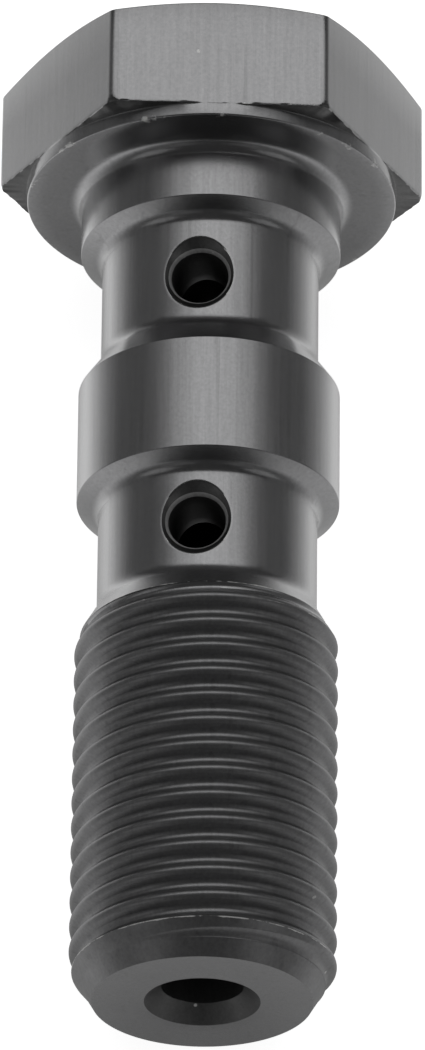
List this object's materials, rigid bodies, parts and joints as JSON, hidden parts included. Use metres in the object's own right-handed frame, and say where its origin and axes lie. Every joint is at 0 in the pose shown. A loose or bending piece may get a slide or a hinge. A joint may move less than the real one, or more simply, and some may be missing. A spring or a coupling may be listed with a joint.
{
  "type": "banjo bolt",
  "caption": "Hexagon-head banjo bolt with two fluid grooves, countersunk cross ports, an axial bore and a fine-threaded tip, for two banjo fittings.",
  "frame": {"origin": "bottom centre of the bolt's box, on the surface that it lies on", "axes": "the bolt lies on its side along Y, head towards +Y and tip towards -Y, with one head flat facing +Z; its own axis is tilted 3.83 degrees, head end up, because it rests on the rim of the washer face and on the first turn of the thread"},
  "size_m": [0.016, 0.0388, 0.0143],
  "materials": {
    "black_finished_steel": "machined steel with a thin black finish, semi-gloss"
  },
  "bodies": {
    "root": {"banjo_bolt": "black_finished_steel"}
  },
  "joints": []
}
